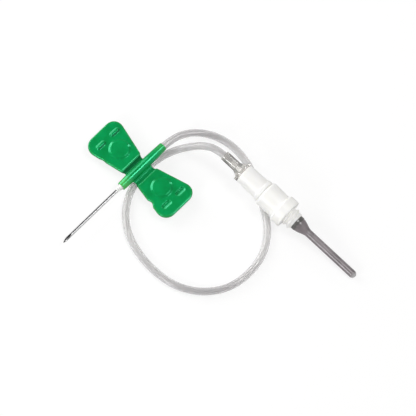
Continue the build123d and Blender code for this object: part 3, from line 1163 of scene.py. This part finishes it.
def makeAdapter(settings):
    # turned profile; on the neck a ridge winds round like a screw, fading in and out at its ends
    profile = closedProfile(
        settings,
        ("flowEnd", "flowRadius"),
        ("coneEnd", "flowRadius", "flowRound"),
        ("coneEnd", "coneTip", "tipRound"),
        ("seat", "coneBase", "seatRound"),
        ("seat", "seatRadius", "stepRound"),
        ("front", "frontRadius", "frontRound"),
        ("front", "barrelFront", "barrelRound"),
        ("flangeStart", "barrelBack", "rootRound"),
        ("flangeStart", "flangeRadius", "flangeRound"),
        ("flangeEnd", "flangeRadius", "flangeRound"),
        ("flangeEnd", "neckRadius", "rootRound"),
        ("neckEnd", "neckRadius", "neckRound"),
        ("neckEnd", "nippleRadius", "nippleRoot"),
        ("nippleEnd", "nippleRadius", "nippleRound"),
        ("nippleEnd", "needleHole"),
        ("flowEnd", "needleHole"),
    )
    s, r, turn = turnedProfile(profile, settings["turns"])
    wind = (s - settings["flangeEnd"]) / settings["threadPitch"] - turn / (2 * np.pi)
    ridge = smoothStep(-1, 1, np.cos(2 * np.pi * wind))
    ends = smoothStep(*settings["threadStart"], s) * smoothStep(*settings["threadEnd"], s)
    onNeck = ends * (r > settings["threadRoot"])
    grid = around(luerStart, luerAlong, s, r + settings["threadRise"] * ridge * onNeck, turn)
    piece = gridPiece("luerAdapter", grid, white, "white_plastic", closedV=True)
    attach(piece, "adapter")
    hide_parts("luer_adapter")


makeSocket(socketSettings)
makeAdapter(adapterSettings)
print("luer pieces made")


# Rear needle and its rubber sleeve

rearSettings = dict(needleSettings, outer=0.45, bore=0.3, rear=2.0, tip=30.1, around=64)
sleeveSettings = {
    "base": 11.6,
    "nippleRadius": 1.22,
    "nippleEnd": 14.4,
    "boreRadius": 0.65,
    "baseRadius": 1.97,
    "lipRise": 0.12,
    "lipEnd": 12.6,
    "flareEnd": 16.2,
    "radius": 1.05,
    "end": 32.9,
    "hollowEnd": 31.3,
    "edge": 0.06,  # bevels of the lip
    "backEdge": 0.08,
    "lipMask": (12.9, 12.5),
    "tipMask": (31.745, 32.6),
    "tipShare": 0.7,
    "steps": {"flare": 24, "straight": 40, "dome": 20},
    "turns": 112,
}


def makeSleeve(settings):
    # lip, flare that eases down to the straight sleeve, round closed end, and the hollow inside
    steps, edge = settings["steps"], settings["edge"]
    lip = settings["baseRadius"] + settings["lipRise"]
    t = np.linspace(0, 1, steps["flare"])
    fall = between(settings, "baseRadius", "radius", smoothStep(0, 1, t))
    flare = np.column_stack([between(settings, "lipEnd", "flareEnd", t), fall])
    swing = np.linspace(0, np.pi / 2, steps["dome"])
    domeStart = settings["end"] - settings["radius"]
    straight = np.linspace(settings["flareEnd"], domeStart, steps["straight"])[1:-1]
    domeAt = settings["end"] - settings["radius"] * (1 - np.sin(swing))
    dome = np.column_stack([domeAt, settings["radius"] * np.cos(swing)])
    profile = np.vstack(
        [
            [(settings["hollowEnd"], 0), (settings["hollowEnd"], settings["boreRadius"])],
            [(settings["nippleEnd"], settings[key]) for key in ("boreRadius", "nippleRadius")],
            [(settings["base"], settings["nippleRadius"]), (settings["base"], lip - edge)],
            [(settings["base"] + edge, lip), (settings["lipEnd"] - settings["backEdge"], lip)],
            [(settings["lipEnd"], lip - edge)],
            flare,
            np.column_stack([straight, np.full(len(straight), settings["radius"])]),
            dome,
        ]
    )
    s, r, turn = turnedProfile(profile, settings["turns"])
    lipMask, tipMask = (smoothStep(*settings[key], s) for key in ("lipMask", "tipMask"))
    grid = around(luerStart, luerAlong, s, r, turn)
    piece = gridPiece(
        "rubberSleeve", grid, rubber, "grey_rubber", lip=lipMask, tip=settings["tipShare"] * tipMask
    )
    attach(piece, "adapter")
    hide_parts("sleeve")


makeNeedle("rearNeedle", "rear_cannula", "adapter", luerStart, luerAlong, rearSettings)
makeSleeve(sleeveSettings)
print("rear needle and sleeve made")


# Floor and light

floorSettings = {"half": 3000, "steady": 0.8, "throughGlass": 0.95, "mirrored": 0.45, "bounce": 0.9}
worldSettings = {
    "colour": (1.0, 0.99, 0.97),
    "strength": 0.25,
    "panels": 0.9,  # white panels at both ends of panelWay, as clear plastic shows them
    "panelWay": (-0.69466, 0.71934, 0),
}
lampSettings = [
    # name, direction to the lamp, distance, size, power in watts
    ("top", (-0.26, 0.27, 0.93), 460, 150, 0.6),
    ("front", (0.86, 0, 0.51), 420, 140, 0.58),
    ("side", (0.12, -0.85, 0.5), 420, 320, 1.25),
    ("rear", (-0.88, -0.07, 0.48), 420, 60, 0.12),
    ("fill", (-0.26, 0.88, 0.4), 420, 420, 0.27),
]


def makeFloor(settings):
    # pale floor: what the camera sees is mostly steady white and the rest takes light and shadow; clear
    # plastic shows it wholly steady, gloss shows it dim
    half = settings["half"]
    edge = np.array([(-half, -half, 0), (half, -half, 0), (half, half, 0), (-half, half, 0)]) * mm
    mesh = bpy.data.meshes.new("floor")
    mesh.from_pydata(edge, [], [(0, 1, 2, 3)])
    floor = bpy.data.objects.new("floor", mesh)
    bpy.context.scene.collection.objects.link(floor)
    material = bpy.data.materials.new("paleFloor")
    material.use_nodes = True
    tree = material.node_tree
    tree.nodes.clear()
    path = tree.nodes.new("ShaderNodeLightPath")
    inside = mathOf(tree, "MINIMUM", path.outputs["Transmission Depth"])
    through = mathOf(tree, "MAXIMUM", path.outputs["Is Transmission Ray"], inside)
    glossy = mathOf(tree, "SUBTRACT", path.outputs["Is Glossy Ray"], inside)
    plainly = mathOf(tree, "MAXIMUM", glossy, through)
    seen = mathOf(tree, "MAXIMUM", path.outputs["Is Camera Ray"], plainly)
    steady = tree.nodes.new("ShaderNodeEmission")
    shaded = tree.nodes.new("ShaderNodeBsdfDiffuse")
    bounce = nodeOf(tree, "ShaderNodeBsdfDiffuse", Color=(*[settings["bounce"]] * 3, 1))
    glow, glass, gloss = ((settings[key],) * 3 for key in ("steady", "throughGlass", "mirrored"))
    level = mixColour(tree, glossy, mixColour(tree, through, glow, glass), gloss)
    tree.links.new(level, steady.inputs["Color"])
    tree.links.new(mixColour(tree, plainly, (1 - glow[0],) * 3, (0.0, 0.0, 0.0)), shaded.inputs["Color"])
    shown = tree.nodes.new("ShaderNodeAddShader")
    tree.links.new(steady.outputs["Emission"], shown.inputs[0])
    tree.links.new(shaded.outputs["BSDF"], shown.inputs[1])
    choose = tree.nodes.new("ShaderNodeMixShader")
    tree.links.new(seen, choose.inputs["Fac"])
    tree.links.new(bounce.outputs["BSDF"], choose.inputs[1])
    tree.links.new(shown.outputs["Shader"], choose.inputs[2])
    output = tree.nodes.new("ShaderNodeOutputMaterial")
    tree.links.new(choose.outputs["Shader"], output.inputs["Surface"])
    mesh.materials.append(material)


def makeLight(settings, lamps):
    world = bpy.data.worlds.new("softWorld")
    world.use_nodes = True
    tree = world.node_tree
    backdrop = tree.nodes["Background"]
    backdrop.inputs["Color"].default_value = (*settings["colour"], 1)
    path = tree.nodes.new("ShaderNodeLightPath")
    place = tree.nodes.new("ShaderNodeTexCoord")
    across = tree.nodes.new("ShaderNodeVectorMath")  # how far a direction points towards a panel
    across.operation = "DOT_PRODUCT"
    across.inputs[1].default_value = settings["panelWay"]
    tree.links.new(place.outputs["Generated"], across.inputs[0])
    aside = mathOf(tree, "ABSOLUTE", across.outputs["Value"])
    shown = mathOf(tree, "MULTIPLY", aside, path.outputs["Is Transmission Ray"])
    level = rangeOf(tree, shown, 0, 1, settings["strength"], settings["panels"])
    tree.links.new(level, backdrop.inputs["Strength"])
    bpy.context.scene.world = world
    centre = Vector(home + cameraSettings["centre"]) * mm
    for name, direction, distance, size, power in lamps:
        data = bpy.data.lights.new(name, "AREA")
        data.shape = "SQUARE"
        data.size = size * mm
        data.energy = power
        lamp = bpy.data.objects.new(name, data)
        bpy.context.scene.collection.objects.link(lamp)
        toLamp = Vector(direction).normalized()
        lamp.location = centre + toLamp * distance * mm
        lamp.rotation_mode = "QUATERNION"
        lamp.rotation_quaternion = toLamp.to_track_quat("Z", "Y")


makeFloor(floorSettings)
makeLight(worldSettings, lampSettings)
bpy.context.scene.view_settings.view_transform = "Standard"
print("floor and light made")
